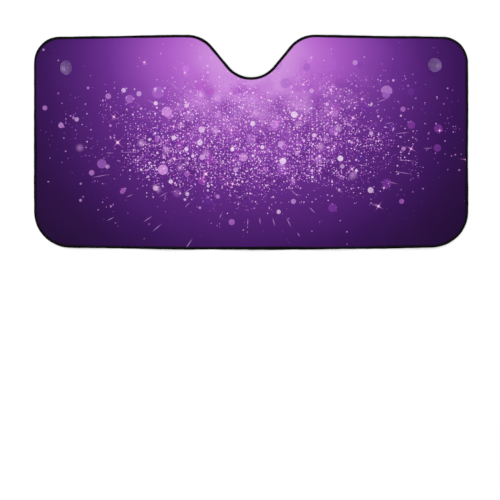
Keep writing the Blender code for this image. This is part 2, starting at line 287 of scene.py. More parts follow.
def skinGrid():
    # plan of a skin: bands along the outline, and inside them a patch blended from its four sides
    side, top = shade["width"] / 2, shade["height"] / 2
    lower, upper = nearestDistance((side, -top)), nearestDistance((side, top))
    starts = loopLength + np.array([-lower, lower, upper, loopLength - upper, loopLength - lower])
    nu, nv = skin["columns"], skin["rows"]
    spans = zip(starts, starts[1:], (nu, nv, nu, nv))
    stations = np.concatenate([np.linspace(*span, endpoint=False) for span in spans])
    insets = np.array([skin["edgeInset"]] + [band * mm for band in skin["bands"]])
    bands = np.stack([alongOutline(stations, inset) for inset in insets])

    border = bands[-1]
    bottom = border[:nu + 1]
    right = border[nu:nu + nv + 1]
    topRow = border[nu + nv:2 * nu + nv + 1][::-1]
    left = np.concatenate([border[2 * nu + nv:], border[:1]])[::-1]
    u = np.linspace(0, 1, nu + 1)[:, None, None]
    v = np.linspace(0, 1, nv + 1)[None, :, None]
    patch = (1 - v) * bottom[:, None] + v * topRow[:, None] + (1 - u) * left[None] + u * right[None]
    patch -= (1 - u) * (1 - v) * bottom[0] + u * (1 - v) * bottom[-1]
    patch -= (1 - u) * v * topRow[0] + u * v * topRow[-1]

    count = len(stations)
    outer = len(insets) - 1
    quads = [gridQuads(outer, count, closeColumns=True)[:, ::-1]]
    number = outer * count + np.arange((nu + 1) * (nv + 1)).reshape(nu + 1, nv + 1)
    ring = np.concatenate([number[:-1, 0], number[-1, :-1], number[:0:-1, -1], number[0, :0:-1]])
    last = (outer - 1) * count + np.arange(count)
    quads.append(np.stack([last, np.roll(last, -1), np.roll(ring, -1), ring], axis=1))
    quads.append(outer * count + gridQuads(nu + 1, nv + 1))
    patch = patch.reshape(-1, 2)
    along, away = distanceToOutline(patch)
    points = np.concatenate([bands[:-1].reshape(-1, 2), patch])
    s = np.concatenate([np.tile(stations, outer), along])
    inset = np.concatenate([np.repeat(insets[:-1], count), np.maximum(away, insets[-1])])
    return points, s, inset, np.concatenate(quads)


def distanceToOutline(places):
    # for each place, how far along the outline its nearest point is, and how far away
    stations = np.arange(0, loopLength, skin["searchStep"])
    ring = alongOutline(stations)
    along, away = np.empty(len(places)), np.empty(len(places))
    for start in range(0, len(places), skin["searchBlock"]):
        some = slice(start, start + skin["searchBlock"])
        block = places[some]
        gaps = np.hypot(*np.moveaxis(block[:, None] - ring, 2, 0))
        nearest = gaps.argmin(axis=1)
        along[some] = stations[nearest]
        away[some] = gaps[np.arange(len(block)), nearest]
    return along, away


def cupPlace(name):
    # where the axis of a cup's neck goes through the sheet
    side = -1 if name == "left" else 1
    return side * (shade["width"] / 2 - cup["fromSide"]), shade["height"] / 2 - cup["fromTop"][name]


def punchHoles(points, quads):
    # quads near a neck go, and their rim moves out along its radii onto the hole's circle
    radius = cup["neck"] / 2 + shade["gap"]
    centres = points[quads].mean(axis=1)
    places = [np.array(cupPlace(name)) for name in ("left", "right")]
    punched = radius + skin["punchMargin"]
    gone = np.any([np.hypot(*(centres - place).T) < punched for place in places], axis=0)
    rim = np.intersect1d(quads[gone], quads[~gone])
    for place in places:
        spokes = points[rim] - place
        away = np.hypot(*spokes.T)
        near = away < cup["diameter"] / 2
        points[rim[near]] = place + spokes[near] * (radius / away[near])[:, None]
    kept = np.unique(quads[~gone])
    return points, kept, np.searchsorted(kept, quads[~gone])


plan, planAlong, planInset, planQuads = skinGrid()
plan, planKept, planQuads = punchHoles(plan, planQuads)
plan, planAlong, planInset = plan[planKept], planAlong[planKept], planInset[planKept]


def dents(seed):
    # soft long dents that handling leaves: a few ridges, each a Gaussian across and along its line
    dice = np.random.default_rng(seed)
    total = np.zeros(len(plan))
    for _ in range(skin["dentCount"]):
        x, y = dice.uniform(-skin["dentSide"], skin["dentSide"]), dice.uniform(*skin["dentHeights"])
        angle = math.pi / 2 + dice.normal(0, skin["dentLean"])
        dx, dy = plan[:, 0] - x, plan[:, 1] - y
        across = dx * math.sin(angle) - dy * math.cos(angle)
        along = dx * math.cos(angle) + dy * math.sin(angle)
        width, length = dice.uniform(*skin["dentWidths"]), dice.uniform(*skin["dentLengths"])
        total += dice.uniform(*skin["dentShares"]) * np.exp(-(across / width) ** 2 - (along / length) ** 2)
    return total


def skinHeight(side, seed):
    # height of a skin's inner face: foam, gap, dents, and ripples that fade away from the stitching
    fade = np.exp(-np.maximum(planInset - shade["tapeReach"], 0) / skin["rippleReach"])
    fade *= planInset > shade["tapeReach"] - skin["rippleStart"]
    ripple = skin["ripple"] * fade * (1 + waves(planAlong, seed, *skin["rippleWaves"]))
    lift = np.maximum(ripple, 0) + skin["dent"] * dents(seed + 1)
    return sheetHeight(plan[:, 0]) + side * (halfFoam(planInset) + shade["gap"] + lift)


def skinObject(name, node, side, seed, material):
    # one skin: the shared plan raised to the height of its inner face, facing outwards
    points = np.column_stack([plan, skinHeight(side, seed)])
    quads = planQuads if side > 0 else planQuads[:, ::-1]
    obj = meshObject(name, points, quads.tolist(), material)
    setUv(obj, plan / shade["width"] + 0.5)
    addThickness(obj, shade["cloth"] if side > 0 else shade["foil"])
    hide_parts(node)
    return obj


# the cups themselves

def bowl(reach, depth, r):
    # height of a spherical cap of this reach and depth above its lowest point
    radius = (reach**2 + depth**2) / (2 * depth)
    return radius - np.sqrt(radius**2 - r**2)


clothTop = shade["foam"] / 2 + shade["gap"] + shade["cloth"]  # from the sheet's middle


def neckLength():
    # arc length of the bent neck: the lift that clears the leaning dish, over the arc's rise per length
    lean = max(cup["lean"].values())
    radius = ((cup["diameter"] / 2) ** 2 + cup["depth"] ** 2) / (2 * cup["depth"])
    return (2 * shade["gap"] + radius * (1 - math.cos(lean))) * lean / math.sin(lean)


def arcRow(x, z, across, up, turn):
    # part of an ellipse: x and z plus across and up times the cosine and sine of the turn
    return np.column_stack([x + across * np.cos(turn), z + up * np.sin(turn)])


def cupSection():
    # half section from the middle of the hollow over the lip and down to the button head
    outer, neck, head, edge = (cup[key] / 2 for key in ("diameter", "neck", "head", "headEdge"))
    inner, skirt = outer - cup["lip"], neck + cup["fillet"]
    hub = clothTop + neckLength()
    seat = -(shade["foam"] / 2 + 2 * shade["gap"] + shade["foil"])
    hollow, dish = cup["depth"] - cup["wall"], cup["depth"]
    neckZ = hub - cup["fillet"] + bowl(outer, dish, skirt)
    quarter, soft, corner = math.pi / 2, cup["lipRound"], cup["seatRound"]

    def along(name, start, end):
        return np.linspace(start, end, cup["steps"][name])

    hollowR, dishR = along("hollow", 0, inner), along("dish", outer, skirt)[1:]
    z = along("neck", neckZ, clothTop)[1:]
    return np.concatenate([
        np.column_stack([hollowR, hub + cup["wall"] + bowl(inner, hollow, hollowR)]),
        arcRow(outer - soft, hub + dish - soft, soft, soft, along("lip", quarter, 0)),
        np.column_stack([dishR, hub + bowl(outer, dish, dishR) - cup["dishDrop"]]),
        arcRow(skirt, neckZ, cup["fillet"], cup["fillet"], along("fillet", quarter, 2 * quarter)[1:]),
        np.column_stack([np.full_like(z, neck), z]),
        [[neck, seat + corner], [neck + corner, seat]],
        arcRow(head - edge, seat - edge, edge, edge, along("headEdge", quarter, -quarter)),
        arcRow(0, seat - 2 * edge, head - edge, cup["headEdge"] - cup["headHeight"],
               along("dome", 0, quarter)[1:]),
    ])


def rotate(a, b, angle):
    # a and b turned about the origin: a cos + b sin, and b cos - a sin
    return a * np.cos(angle) + b * np.sin(angle), b * np.cos(angle) - a * np.sin(angle)


def leanOver(points, lean):
    # bends the neck: past the cloth the axis follows a circle, and the dish rides on its end
    length = neckLength()
    along = np.clip(points[:, 2] - clothTop, 0, length)
    turned = lean * along / length
    radius = length / lean
    x, z = rotate(points[:, 0], points[:, 2] - clothTop - along, turned)
    x += radius * (1 - np.cos(turned))
    z += clothTop + radius * np.sin(turned)
    return x, points[:, 1], z


def cupObject(name, node, material):
    # turned surface: the section's radius swept round the axis, closed by one point at each pole
    section = cupSection()
    middle = section[1:-1]
    angles = np.linspace(0, 2 * math.pi, cup["around"], endpoint=False)
    r, z = middle[:, :1], middle[:, 1:]
    ring = np.stack([r * np.cos(angles), r * np.sin(angles), z + 0 * angles], axis=-1).reshape(-1, 3)
    points = np.concatenate([ring, [[0, 0, section[0, 1]], [0, 0, section[-1, 1]]]])
    x, y, z = leanOver(points, cup["lean"][name])
    x, y = rotate(x, y, -cup["leanDirection"][name])
    middleX, middleY = cupPlace(name)
    step = 1 * mm
    heights = sheetHeight(np.array([middleX - step, middleX, middleX + step]))
    x, z = rotate(x, z, math.atan((heights[0] - heights[2]) / (2 * step)))
    points = np.column_stack([middleX + x, middleY + y, heights[1] + z])
    quads, caps = closedTube(len(middle), cup["around"])
    obj = meshObject("cup_" + name, points, quads.tolist() + caps.tolist(), material)
    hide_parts(node)
    return obj


# folded tape round the edge

tape = {
    "stitch": 4.0 * mm,
    "stitchInset": 5.4 * mm,
    "valley": 0.22 * mm,
    "valleyWidth": 1.3 * mm,
    "pucker": 0.14 * mm,
    "wander": 0.8 * mm,
    "wanderWaves": (0.14, 0.9, 6),  # shortest, longest, how many
    "waver": 0.15 * mm,
    "waverWaves": (30 * mm, 80 * mm, 6),
    "middleSpread": 1.2 * mm,  # how much more of the face it covers round the notch
    "middleReach": 0.3,
    "mostWander": 2.2 * mm,
    "edgeWave": 0.4 * mm,
    "edgeWaves": (50 * mm, 0.4, 8),
    "edgeOut": 0.5 * mm,  # how far its fold stands off the sheet's edge
    "edgeDip": 0.25 * mm,  # how far its cut edge sinks onto the cloth
    "foldWidth": 2 * mm,
    "foldSteps": 9,
    "flats": [inset * mm for inset in (7.6, 7.45, 7.0, 6.2, 5.4, 4.8, 4.0, 3.0)],  # of points on a side
    "lapCentre": -35 * mm,
    "lapLength": 22 * mm,
    "lapStep": 2 * mm,
    "lapThickness": 0.5 * mm,
    "thread": 0.24 * mm,
    "threadLength": 3.0 * mm,
    "threadSides": 6,
    "threadSteps": 7,
    "threadRise": 0.08 * mm,
    "threadSink": 0.16 * mm,
}
stitchCount = round(loopLength / tape["stitch"])
sewnHeight = shade["sewnFoam"] / 2 + 2 * shade["gap"]  # from the sheet's middle, with no cloth or tape


def lapShare(s):
    # 1 where the tape's end lies over its start, 0 elsewhere, with a short smooth step at both ends
    centre = nearestDistance((tape["lapCentre"], -shade["height"] / 2))
    away = np.abs(np.mod(s - centre + loopLength / 2, loopLength) - loopLength / 2)
    share = np.clip((tape["lapLength"] / 2 - away) / tape["lapStep"] + 0.5, 0, 1)
    return share * share * (3 - 2 * share)


def legValley(inset, s):
    # how far the tape's flat side is drawn down by the stitching, more at each stitch's end
    dip = np.exp(-((inset - tape["stitchInset"]) / tape["valleyWidth"]) ** 2)
    beat = 0.5 + 0.5 * np.cos(2 * math.pi * s * stitchCount / loopLength)
    return dip * (tape["valley"] + tape["pucker"] * beat)


def tapeSkin(s):
    # section of the tape at each station: top side, round fold, bottom side, and back inside
    top, bottom = (sewnHeight + shade[layer] + shade["tape"] for layer in ("cloth", "foil"))
    radius, middle = (top + bottom) / 2, (top - bottom) / 2
    reach, seam = shade["tapeReach"], tape["stitchInset"]
    flats = np.array(tape["flats"])
    turn = np.linspace(math.pi / 2, 3 * math.pi / 2, tape["foldSteps"])
    inner = radius - shade["tape"]
    innerTurn = turn[::2][::-1]
    u = np.concatenate([flats, radius + radius * np.cos(turn), flats[::-1],
                        [reach, seam], radius + inner * np.cos(innerTurn), [seam, reach]])
    leg = np.full(len(flats), radius)
    leg[0] -= tape["edgeDip"]
    w = np.concatenate([leg, radius * np.sin(turn), -leg[::-1],
                        [-inner, -inner], inner * np.sin(innerTurn), [inner, inner]])
    inside = np.zeros(len(innerTurn) + 4)
    direction = np.concatenate([np.ones(len(flats)), np.sin(turn), -np.ones(len(flats)), inside])
    outward = np.concatenate([0 * flats, np.cos(turn), 0 * flats, inside])
    outside = np.arange(len(u)) < len(u) - len(inside)
    wander = tape["wander"] * waves(s, 5, *tape["wanderWaves"])
    wander += tape["waver"] * waves(s, 6, *tape["waverWaves"])
    wander += tape["middleSpread"] * np.exp(-(alongOutline(s)[:, 0] / tape["middleReach"]) ** 2)
    wander = np.minimum(wander, tape["mostWander"])[:, None]
    u = u + np.clip((u - seam) / (reach - seam), 0, 1) * wander
    edge = tape["edgeWave"] * waves(s, 7, *tape["edgeWaves"]) - tape["edgeOut"]
    u = u + np.clip(1 - u / seam, 0, 1) * edge[:, None]
    grow = lapShare(s)[:, None] * tape["lapThickness"] * outside
    valley = legValley(u, s[:, None]) * outside
    height = middle + w + direction * grow - np.sign(direction) * valley * (np.abs(direction) > 0.99)
    return u + outward * grow, height


def onSheet(xy, above):
    # points at these places and heights above the sheet's middle
    return np.concatenate([xy, (sheetHeight(xy[..., 0]) + above)[..., None]], axis=-1)


def tapeObject(material):
    # the section carried round the outline, square to it and riding on the sheet's height
    stations = np.arange(2 * stitchCount) * loopLength / (2 * stitchCount)
    u, height = tapeSkin(stations)
    place, inward = placeAndInward(stations)
    xy = place[:, None] + u[..., None] * inward[:, None]
    quads = gridQuads(*u.shape, closeRows=True, closeColumns=True)[:, ::-1]
    obj = meshObject("bound_edge", onSheet(xy, height), quads.tolist(), material)
    around = np.linspace(0, 2 * (shade["tapeReach"] + tape["foldWidth"]), u.shape[1])
    setUv(obj, np.stack(np.broadcast_arrays(stations[:, None], around), axis=-1).reshape(-1, 2))
    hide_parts("edge_binding")
    return obj


def stitchObject(name, side, material):
    # each stitch is a short round thread, sunk at both ends: an arc swept by a small circle
    s = (np.arange(stitchCount) + 0.5) * loopLength / stitchCount
    t = np.linspace(-1, 1, tape["threadSteps"])
    swell = np.sqrt(1 - t[1:-1] ** 4)
    rings, sides = len(swell), tape["threadSides"]
    angles = np.linspace(0, 2 * math.pi, sides, endpoint=False)
    half = tape["threadLength"] / 2
    layer = shade["cloth"] if side > 0 else shade["foil"]
    face = sewnHeight + layer + shade["tape"]
    steps = s[:, None] + half * t[None]
    place, inward = placeAndInward(steps)
    sink = tape["threadRise"] - tape["threadSink"] * t**2
    u = np.full(steps.shape, tape["stitchInset"])
    lift = face - legValley(u, steps) + sink + lapShare(steps) * tape["lapThickness"]
    thick = tape["thread"] * swell[:, None]
    ringU = u[:, 1:-1, None] + thick * np.cos(angles)
    ringW = lift[:, 1:-1, None] + thick * np.sin(angles)
    ringXy = place[:, 1:-1, None] + ringU[..., None] * inward[:, 1:-1, None]
    ends = [0, -1]
    endXy = place[:, ends] + tape["stitchInset"] * inward[:, ends]
    xy = np.concatenate([ringXy.reshape(stitchCount, -1, 2), endXy], axis=1)
    w = np.concatenate([ringW.reshape(stitchCount, -1), lift[:, ends]], axis=1)
    quads, caps = closedTube(rings, sides)
    if side > 0:
        quads, caps = quads[:, ::-1], caps[:, ::-1]
    shift = (np.arange(stitchCount) * (rings * sides + 2))[:, None, None]
    faces = (quads + shift).reshape(-1, 4).tolist() + (caps + shift).reshape(-1, 3).tolist()
    return meshObject(name, onSheet(xy, side * w), faces, material)


# shader building: a node joins the tree that its inputs come from

def feed(socket, value):
    # a link from another node's socket, or else a constant
    if isinstance(value, bpy.types.NodeSocket):
        socket.id_data.links.new(value, socket)
    else:
        socket.default_value = value


def addNode(kind, inputs, tree=None, **settings):
    # its settings come first, because its sockets can depend on them
    if tree is None:
        tree = next(v for v in inputs.values() if isinstance(v, bpy.types.NodeSocket)).id_data
    node = tree.nodes.new("ShaderNode" + kind)
    for key, value in settings.items():
        setattr(node, key, value)
    for key, value in inputs.items():
        feed(node.inputs[key], value)
    return node


def made(kind, inputs, tree=None, **settings):
    # the first output of a new node
    return addNode(kind, inputs, tree, **settings).outputs[0]


def calc(operation, *values, clamp=False):
    return made("Math", dict(enumerate(values)), operation=operation, use_clamp=clamp)


def mulAdd(value, factor, plus):
    return calc("MULTIPLY_ADD", value, factor, plus)


def product(first, *others):
    for other in others:
        first = calc("MULTIPLY", first, other)
    return first


def vectorCalc(operation, *values):
    return made("VectorMath", dict(enumerate(values)), operation=operation)


def split(vector):
    return list(addNode("SeparateXYZ", {0: vector}).outputs)


def join(x, y, z=0.0):
    return made("CombineXYZ", {0: x, 1: y, 2: z})


def srgb(r, g, b):
    # colour as it looks on screen, 0 to 255, turned to the linear values that a shader takes
    channels = np.array([r, g, b]) / 255
    linear = np.where(channels <= 0.04045, channels / 12.92, ((channels + 0.055) / 1.055) ** 2.4)
    return (*[float(c) for c in linear], 1.0)


def blend(share, a, b, mode="MIX"):
    # a where the share is 0, b where it is 1, each a socket or a colour as it looks on screen
    a, b = (srgb(*colour) if isinstance(colour, tuple) else colour for colour in (a, b))
    inputs = {0: share, 6: a, 7: b}
    return addNode("Mix", inputs, data_type="RGBA", blend_type=mode).outputs[2]


def softStep(value, low, high):
    # 0 below low, 1 above high, and a cubic rise between them
    inputs = {"Value": value, "From Min": low, "From Max": high}
    return made("MapRange", inputs, interpolation_type="SMOOTHSTEP")


def bell(values, centres, reaches):
    # exp(-sum of ((value - centre) / reach)^2)
    total = 0.0
    for value, centre, reach in zip(values, centres, reaches):
        share = calc("DIVIDE", calc("SUBTRACT", value, centre), reach)
        total = mulAdd(share, share, total)
    return calc("EXPONENT", product(total, -1.0))


def noise(place, scale, detail, roughness=0.5, **settings):
    inputs = {"Vector": place, "Scale": scale, "Detail": detail, "Roughness": roughness}
    return made("TexNoise", inputs, **settings)


def randomCells(place, randomness):
    inputs = {"Vector": place, "Scale": 1.0, "Randomness": randomness}
    return addNode("TexVoronoi", inputs, voronoi_dimensions="2D").outputs


groups = {}


def newGroup(name, numbers, outputs):
    # an effect that surfaces share: it takes a place and some numbers, and gives numbers
    group = bpy.data.node_groups.new(name, "ShaderNodeTree")
    group.interface.new_socket("Place", in_out="INPUT", socket_type="NodeSocketVector")
    for socketName in numbers:
        group.interface.new_socket(socketName, in_out="INPUT", socket_type="NodeSocketFloat")
    for socketName in outputs:
        group.interface.new_socket(socketName, in_out="OUTPUT", socket_type="NodeSocketFloat")
    groups[name] = group
    return group.nodes.new("NodeGroupInput").outputs, group.nodes.new("NodeGroupOutput").inputs


def useGroup(name, **inputs):
    return addNode("Group", inputs, node_tree=groups[name]).outputs


cloud = {
    "noise": (8.0, 4.0, 0.6),  # scale, detail, roughness
    "noiseShare": 0.9,
    "Near": ((0.015, 0.006), (0.42, 0.185), 1.1, (0.12, 0.75)),  # centre, reach, power, step
    "Wide": ((0.015, 0.016), (0.60, 0.262), 1.4, (0.03, 0.6)),
}


def makeCloudGroup():
    # how thickly the sparkle lies: a lens across the middle, broken up by noise, with a wide fringe
    given, out = newGroup("sparkleCloud", [], ["Near", "Wide"])
    parts = split(given["Place"])
    cloudy = noise(given["Place"], *cloud["noise"], noise_dimensions="2D")
    cloudy = mulAdd(cloudy, cloud["noiseShare"], -cloud["noiseShare"] / 2)
    for name, ragged in (("Near", cloudy), ("Wide", 0.0)):
        centre, reach, power, step = cloud[name]
        lens = calc("ADD", calc("POWER", bell(parts, centre, reach), power), ragged)
        feed(out[name], softStep(lens, *step))


def cellsOfSize(given, randomness):
    # random cells: how far from its cell's middle a place is, which way, the middle, and three dice
    offset = join(given["Shift"], given["Shift"])
    size = join(given["Cell"], given["Cell"], given["Cell"])
    shifted = vectorCalc("ADD", vectorCalc("DIVIDE", given["Place"], size), offset)
    cells = randomCells(shifted, randomness)
    middle = vectorCalc("SUBTRACT", cells["Position"], offset)
    away = vectorCalc("SUBTRACT", shifted, cells["Position"])
    dice = addNode("SeparateColor", {0: cells["Color"]}).outputs
    middle, away = (vectorCalc("MULTIPLY", vector, size) for vector in (middle, away))
    return cells["Distance"], away, middle, dice


dotNumbers = ["Cell", "Size", "Vary", "Core", "Fringe", "Edge", "Shift"]


def makeDotGroup():
    # round dots, one in each cell, of random size, present where the cloud is thick enough
    given, out = newGroup("printedDots", dotNumbers, ["Mask", "Tone"])
    distance, _, middle, dice = cellsOfSize(given, 1.0)
    amount = useGroup("sparkleCloud", Place=middle)
    thick = calc("MAXIMUM", product(amount["Near"], given["Core"]),
                 product(amount["Wide"], given["Fringe"]))
    present = calc("LESS_THAN", dice[0], thick)
    size = calc("SUBTRACT", 1.0, product(calc("SQRT", dice[1]), given["Vary"]))
    radius = product(size, given["Size"])
    full = product(radius, calc("SUBTRACT", 1.0, given["Edge"]))
    feed(out["Mask"], product(softStep(distance, radius, full), present))
    dim = mulAdd(amount["Wide"], 0.7, 0.3)  # dots at the fringe are fainter
    feed(out["Tone"], product(dice[2], dim))


glint = {
    "randomness": 0.8,
    "mostTurn": 0.9,
    "reach": (0.8, 0.4),  # spread and least
    "rayWidth": 1.1 * mm,
    "rayShare": 0.9,
    "core": 0.42,  # of the reach
}


def makeStarGroup():
    # small four-rayed glints: thin exponential rays crossing in the middle of random cells
    given, out = newGroup("printedGlints", ["Cell", "Reach", "Amount", "Shift"], ["Mask"])
    _, away, middle, dice = cellsOfSize(given, glint["randomness"])
    amount = useGroup("sparkleCloud", Place=middle)["Wide"]
    present = calc("LESS_THAN", dice[0], product(amount, given["Amount"]))
    turned = {"Vector": away, "Angle": product(dice[1], glint["mostTurn"])}
    parts = split(made("VectorRotate", turned, rotation_type="Z_AXIS"))
    dx, dy = (calc("ABSOLUTE", part) for part in parts[:2])
    reach = product(given["Reach"], mulAdd(dice[2], *glint["reach"]))
    rays = []
    for long, thin in ((dx, dy), (dy, dx)):
        fade = calc("DIVIDE", long, reach)
        fade = calc("ADD", fade, calc("DIVIDE", thin, glint["rayWidth"]))
        rays.append(calc("EXPONENT", product(fade, -1.0)))
    distance = addNode("VectorMath", {0: away}, operation="LENGTH").outputs["Value"]
    core = bell([distance], [0.0], [product(reach, glint["core"])])
    rays = product(calc("ADD", *rays), glint["rayShare"])
    feed(out["Mask"], product(calc("ADD", rays, core, clamp=True), present))


streak = {
    "randomness": 0.6,
    "stretch": (1.5, 0.03),  # of y: factor and shift
    "across": (1.8 * mm, 0.2 * mm),
    "reach": (0.22, 0.1),  # in its cell: spread and least
    "starts": (0.2, 0.34),  # distance from the middle where streaks begin, and where they stop
    "stops": (0.62, 0.46),
    "amount": 0.5,
}


def makeStreakGroup():
    # short thin streaks that fly outwards: long dots in a plane of angle and distance
    given, out = newGroup("printedStreaks", ["Spokes", "Length"], ["Mask"])
    x, y, _ = split(given["Place"])
    y = mulAdd(y, *streak["stretch"])
    angle = calc("ARCTAN2", y, x)
    away = calc("SQRT", calc("ADD", product(x, x), product(y, y)))
    polar = join(product(angle, given["Spokes"]), calc("DIVIDE", away, given["Length"]))
    cells = randomCells(polar, streak["randomness"])
    parts = split(vectorCalc("SUBTRACT", polar, cells["Position"]))
    dx, dy = (calc("ABSOLUTE", part) for part in parts[:2])
    across = product(calc("DIVIDE", dx, given["Spokes"]), away)
    thin = softStep(across, *streak["across"])
    dice = addNode("SeparateColor", {0: cells["Color"]}).outputs
    reach = mulAdd(dice[1], *streak["reach"])
    short = softStep(calc("DIVIDE", dy, reach), 1.0, 0.0)
    band = product(softStep(away, *streak["starts"]), softStep(away, *streak["stops"]))
    present = calc("LESS_THAN", dice[0], product(band, streak["amount"]))
    feed(out["Mask"], product(thin, short, present))


def makeWeaveGroup():
    # plain weave: two sets of round threads, each over and under the other in turn; Shade is 1 where one
    # set lies on top, for painted shade on those threads
    given, out = newGroup("plainWeave", ["Pitch"], ["Height", "Shade"])
    parts = split(given["Place"])
    turns = [product(calc("DIVIDE", part, given["Pitch"]), math.pi) for part in parts[:2]]
    over = product(*[calc("SINE", turn) for turn in turns])
    ribs = [calc("ABSOLUTE", calc("COSINE", turn)) for turn in turns]
    side = calc("GREATER_THAN", over, 0.0)
    warp = product(ribs[0], side)
    weft = product(ribs[1], calc("SUBTRACT", 1.0, side))
    height = calc("ADD", calc("ADD", warp, weft), calc("ABSOLUTE", over))
    feed(out["Height"], height)
    feed(out["Shade"], side)


def makeGrainGroup():
    # fine irregular grain and soft smudges, for roughness and colour that isn't quite even
    given, out = newGroup("surfaceGrain", ["Fine", "Broad"], ["Fine", "Broad"])
    for name in ("Fine", "Broad"):
        feed(out[name], noise(given["Place"], given[name], 3.0))


def makeFoldGroup():
    # pressed fold lines: a narrow bell across each multiple of the pitch, up to the last fold
    given, out = newGroup("foldLines", ["Pitch", "Last", "Width"], ["Mask"])
    fromMiddle = calc("ABSOLUTE", split(given["Place"])[0])
    away = calc("PINGPONG", fromMiddle, product(given["Pitch"], 0.5))
    line = bell([away], [0.0], [given["Width"]])
    feed(out["Mask"], product(line, calc("LESS_THAN", fromMiddle, given["Last"])))


makeCloudGroup()
makeDotGroup()
makeStarGroup()
makeStreakGroup()
makeWeaveGroup()
makeGrainGroup()
makeFoldGroup()


def newMaterial(name, look, **shaderValues):
    # a material with these constants, where a place on it is, and its grain there
    material = bpy.data.materials.new(name)
    material.use_nodes = True
    tree = material.node_tree
    for key, value in shaderValues.items():
        tree.nodes["Principled BSDF"].inputs[key.replace("_", " ")].default_value = value
    place = addNode("TexCoord", {}, tree=tree).outputs
    return material, place, useGroup("surfaceGrain", Place=place["Object"], **look["grain"])


def setSurface(material, look, colour, height, rough=None):
    # the colour, a height whose slopes tilt the shading, and the roughness: spread times rough, plus least
    inputs = material.node_tree.nodes["Principled BSDF"].inputs
    feed(inputs["Base Color"], colour)
    strength, distance = look["bump"]
    bump = {"Height": height, "Strength": strength, "Distance": distance}
    feed(inputs["Normal"], made("Bump", bump))
    if rough:
        feed(inputs["Roughness"], mulAdd(rough, *look["rough"]))


# the print: a glow at the notch that falls to indigo, under layers of generic sparkle
printed = {
    "glow": [(0.0, (34, 4, 56)), (0.1, (45, 8, 71)), (0.2, (60, 16, 93)), (0.35, (85, 31, 121)),
             (0.5, (108, 45, 146)), (0.65, (141, 68, 174)), (0.8, (172, 91, 199)), (0.9, (191, 112, 213)),
             (1.0, (210, 146, 226))],
    "base": -0.2724,  # of the glow where nothing adds to it
    "broad": ((0.0, 0.1235), (0.769, 0.6111), 0.8918),  # centre, reach and share of its wide part
    "near": ((0.0, 0.3196), (0.4699, 0.2105), 0.5042),  # and of the part at the notch
    "clouds": (5.0, 2.0),  # noise scale and detail
    "cloudShare": 0.06,
    "hazes": (13.0, 3.0),
    "speckles": (330.0, 2.0),
    "speckleStep": (0.35, 0.65),
    "speckle": (0.35, 0.65),  # spread and least
    "largeCell": 15 * mm,  # dots in larger cells are speckled
    "dots": [  # cell, size in it, size spread, core, fringe, edge, shift, strength, two colours
        (13 * mm, 0.2, 0.5, 0.42, 0.08, 0.1, 5.9, 1.0, (240, 172, 252), (255, 240, 255)),
        (5.1 * mm, 0.46, 0.5, 0.6, 0.04, 0.35, 3.1, 1.0, (140, 50, 190), (255, 156, 255)),
        (8.0 * mm, 0.38, 0.5, 0.55, 0.04, 0.2, 17.7, 1.0, (170, 70, 212), (255, 204, 255)),
        (12.5 * mm, 0.3, 0.5, 0.42, 0.09, 0.2, 29.3, 1.0, (196, 92, 230), (255, 222, 255)),
        (24 * mm, 0.25, 0.6, 0.4, 0.12, 0.2, 41.9, 1.0, (222, 128, 240), (255, 240, 255)),
        (50 * mm, 0.26, 0.5, 0.42, 0.26, 0.12, 53.3, 1.0, (206, 104, 230), (255, 238, 255)),
        (92 * mm, 0.24, 0.4, 0.42, 0.36, 0.08, 71.3, 0.85, (158, 72, 204), (248, 182, 250)),
        (62 * mm, 0.4, 0.4, 0.6, 0.0, 1.0, 23.9, 0.6, (206, 102, 234), (255, 204, 255)),
        (84 * mm, 0.26, 0.5, 0.4, 0.45, 0.15, 83.9, 0.6, (94, 46, 168), (196, 84, 206)),
    ],
    "gaps": (6.2 * mm, 0.5, 0.4, 0.6, 0.0, 0.6, 91.3, 0.6, (184, 156, 192)),  # dots that darken
    "gap": 0.1,  # how much the ground darkens where the dots crowd
    "haze": 0.56,  # how much it wavers there
    "hazeLow": 0.24,
    "mist": ((0.03, 0.14), (0.2, 0.07), 0.6, (246, 194, 252)),  # centre, reach, share, colour
    "mistStep": (0.3, 0.75),
    "streaks": {"Spokes": 8.0, "Length": 0.11},
    "streakShare": 0.9,
    "streakColour": (206, 150, 222),
    "glints": {"Cell": 0.095, "Reach": 0.0095, "Amount": 0.7, "Shift": 19.7},
    "glintSteps": [((0.0, 0.5), (226, 130, 224)), ((0.3, 0.9), (255, 240, 252))],
    "weavePitch": 0.42 * mm,
    # painted shade: how much darker the threads lying one way are drawn
    "weaveShade": 0.05,
    "grain": {"Fine": 900.0, "Broad": 7.0},
    "rough": (0.16, 0.52),  # spread and least
    "fold": {"Pitch": shade["foldPitch"], "Last": 0.6, "Width": 1.6 * mm},
    "foldDepth": -8.0,
    "bump": (0.35, 0.06 * mm),  # strength and distance
}


def useDots(spot, layer):
    return useGroup("printedDots", Place=spot, **dict(zip(dotNumbers, layer)))


def glowLevel(spot, hazy):
    # how bright the ground is: base, two bells, clouds, and haze where the dots crowd
    parts = split(spot)
    level = printed["base"]
    for centre, reach, share in (printed["broad"], printed["near"]):
        level = mulAdd(bell(parts, centre, reach), share, level)
    cloudy = calc("SUBTRACT", noise(spot, *printed["clouds"]), 0.5)
    level = mulAdd(cloudy, printed["cloudShare"], level)
    crowd = useGroup("sparkleCloud", Place=spot)["Near"]
    haze = mulAdd(hazy, printed["haze"], -printed["hazeLow"])
    level = mulAdd(crowd, haze, level)
    return product(level, mulAdd(crowd, -printed["gap"], 1.0))


